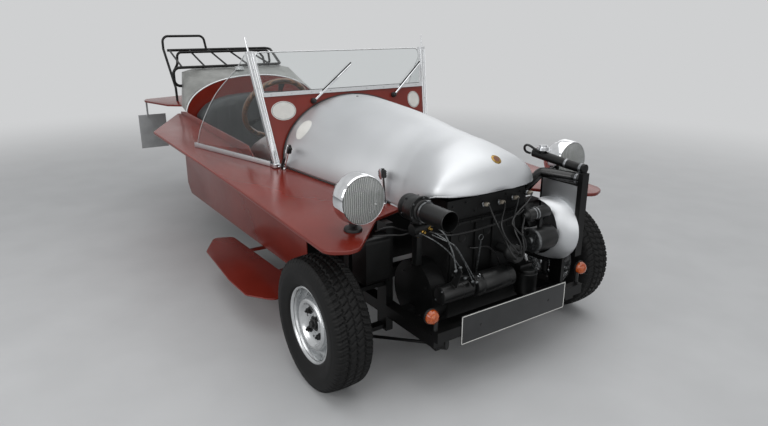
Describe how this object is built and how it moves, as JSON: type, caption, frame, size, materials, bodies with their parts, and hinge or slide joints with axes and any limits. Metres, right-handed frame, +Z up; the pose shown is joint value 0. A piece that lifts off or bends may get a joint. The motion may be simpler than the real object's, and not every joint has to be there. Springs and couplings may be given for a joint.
{
  "type": "three wheeled car",
  "caption": "Open two-seat three wheeled car with two steered front wheels, one rear wheel, plank wings, open front engine and lift-off bonnet.",
  "frame": {"origin": "on the ground under the centre line, halfway between the front plate and the rear edge of the tail plate", "axes": "+X forwards, +Y to the car's left, +Z up"},
  "size_m": [3.228, 1.4454, 1.1883],
  "materials": {
    "red_board": "gloss",
    "black_frame": "satin",
    "polished_aluminium": "satin",
    "bright_chrome": "polished",
    "engine_black": "satin",
    "clear_sheet": "clear",
    "lamp_glass": "fluted",
    "amber_lens": "gloss",
    "tyre_rubber": "matt",
    "wheel_steel": "satin",
    "rim_wood": "varnished",
    "seat_vinyl": "grained",
    "blank_board": "gloss",
    "grey_board": "matt"
  },
  "bodies": {
    "car_body": {"floor_pan": "black_frame", "side_panel_right": "red_board", "side_panel_left": "red_board", "rear_bulkhead": "red_board", "wing_right": "red_board", "wing_left": "red_board", "scuttle_panel": "red_board", "dashboard": "polished_aluminium", "windscreen_frame": "polished_aluminium", "windscreen_pane": "clear_sheet", "wiper_arms": "bright_chrome", "deflector_rails": "polished_aluminium", "deflector_panes": "clear_sheet", "seat_base": "seat_vinyl", "seat_back": "seat_vinyl", "steering_column": "black_frame", "tail_deck": "polished_aluminium", "tail_plate": "red_board", "tail_board": "grey_board", "luggage_rack": "black_frame", "rear_fork": "black_frame", "rear_frame": "black_frame", "step_plates": "red_board", "front_subframe": "black_frame", "front_board": "blank_board", "indicators": "amber_lens", "headlamp_bowls": "bright_chrome", "headlamp_lenses": "lamp_glass", "engine_block": "engine_black", "rocker_cover": "engine_black", "starter_motor": "engine_black", "oil_filter": "engine_black", "dynamo": "engine_black", "distributor": "engine_black", "blower": "engine_black", "radiator": "black_frame", "radiator_cowl": "polished_aluminium", "suspension_arms": "black_frame", "cheek_plates": "polished_aluminium", "filler_cap": "bright_chrome", "tension_rods": "black_frame", "cooling_fan": "engine_black", "top_hose": "black_frame", "filler_neck": "black_frame", "radiator_cap": "bright_chrome"},
    "knuckle_right": {"knuckle_right": "engine_black"},
    "knuckle_left": {"knuckle_left": "engine_black"},
    "wheel_front_right": {"tyre_front_right": "tyre_rubber", "rim_front_right": "wheel_steel"},
    "wheel_front_left": {"tyre_front_left": "tyre_rubber", "rim_front_left": "wheel_steel"},
    "wheel_rear": {"tyre_rear": "tyre_rubber", "rim_rear": "wheel_steel"},
    "bonnet_panel": {"bonnet": "polished_aluminium", "bonnet_catches": "black_frame"},
    "hand_wheel": {"steering_wheel": "rim_wood"}
  },
  "joints": [
    {"name": "steer_right", "type": "hinge", "parent": "car_body", "child": "knuckle_right", "pos_m": [1.266, -0.545, 0.243], "axis": [0, 0, 1], "range_deg": [-25, 25]},
    {"name": "steer_left", "type": "hinge", "parent": "car_body", "child": "knuckle_left", "pos_m": [1.266, 0.545, 0.243], "axis": [0, 0, 1], "range_deg": [-25, 25]},
    {"name": "hand_wheel_turn", "type": "hinge", "parent": "car_body", "child": "hand_wheel", "pos_m": [0.116, -0.23, 0.83], "axis": [-0.8746, 0, 0.4848], "range_deg": [-401, 401]},
    {"name": "wheel_spin_right", "type": "hinge", "parent": "knuckle_right", "child": "wheel_front_right", "pos_m": [1.266, -0.604, 0.243], "axis": [0, 1, 0], "continuous": true},
    {"name": "wheel_spin_left", "type": "hinge", "parent": "knuckle_left", "child": "wheel_front_left", "pos_m": [1.266, 0.604, 0.243], "axis": [0, 1, 0], "continuous": true},
    {"name": "wheel_spin_rear", "type": "hinge", "parent": "car_body", "child": "wheel_rear", "pos_m": [-1.134, 0, 0.243], "axis": [0, 1, 0], "continuous": true},
    {"name": "bonnet_lift", "type": "slide", "parent": "car_body", "child": "bonnet_panel", "axis": [0.5, 0, 0.866], "range_m": [0, 0.3]}
  ],
  "couplings": [
    {"joint": "steer_left", "follows": "steer_right", "ratio": 1},
    {"joint": "hand_wheel_turn", "follows": "steer_right", "ratio": 16}
  ]
}
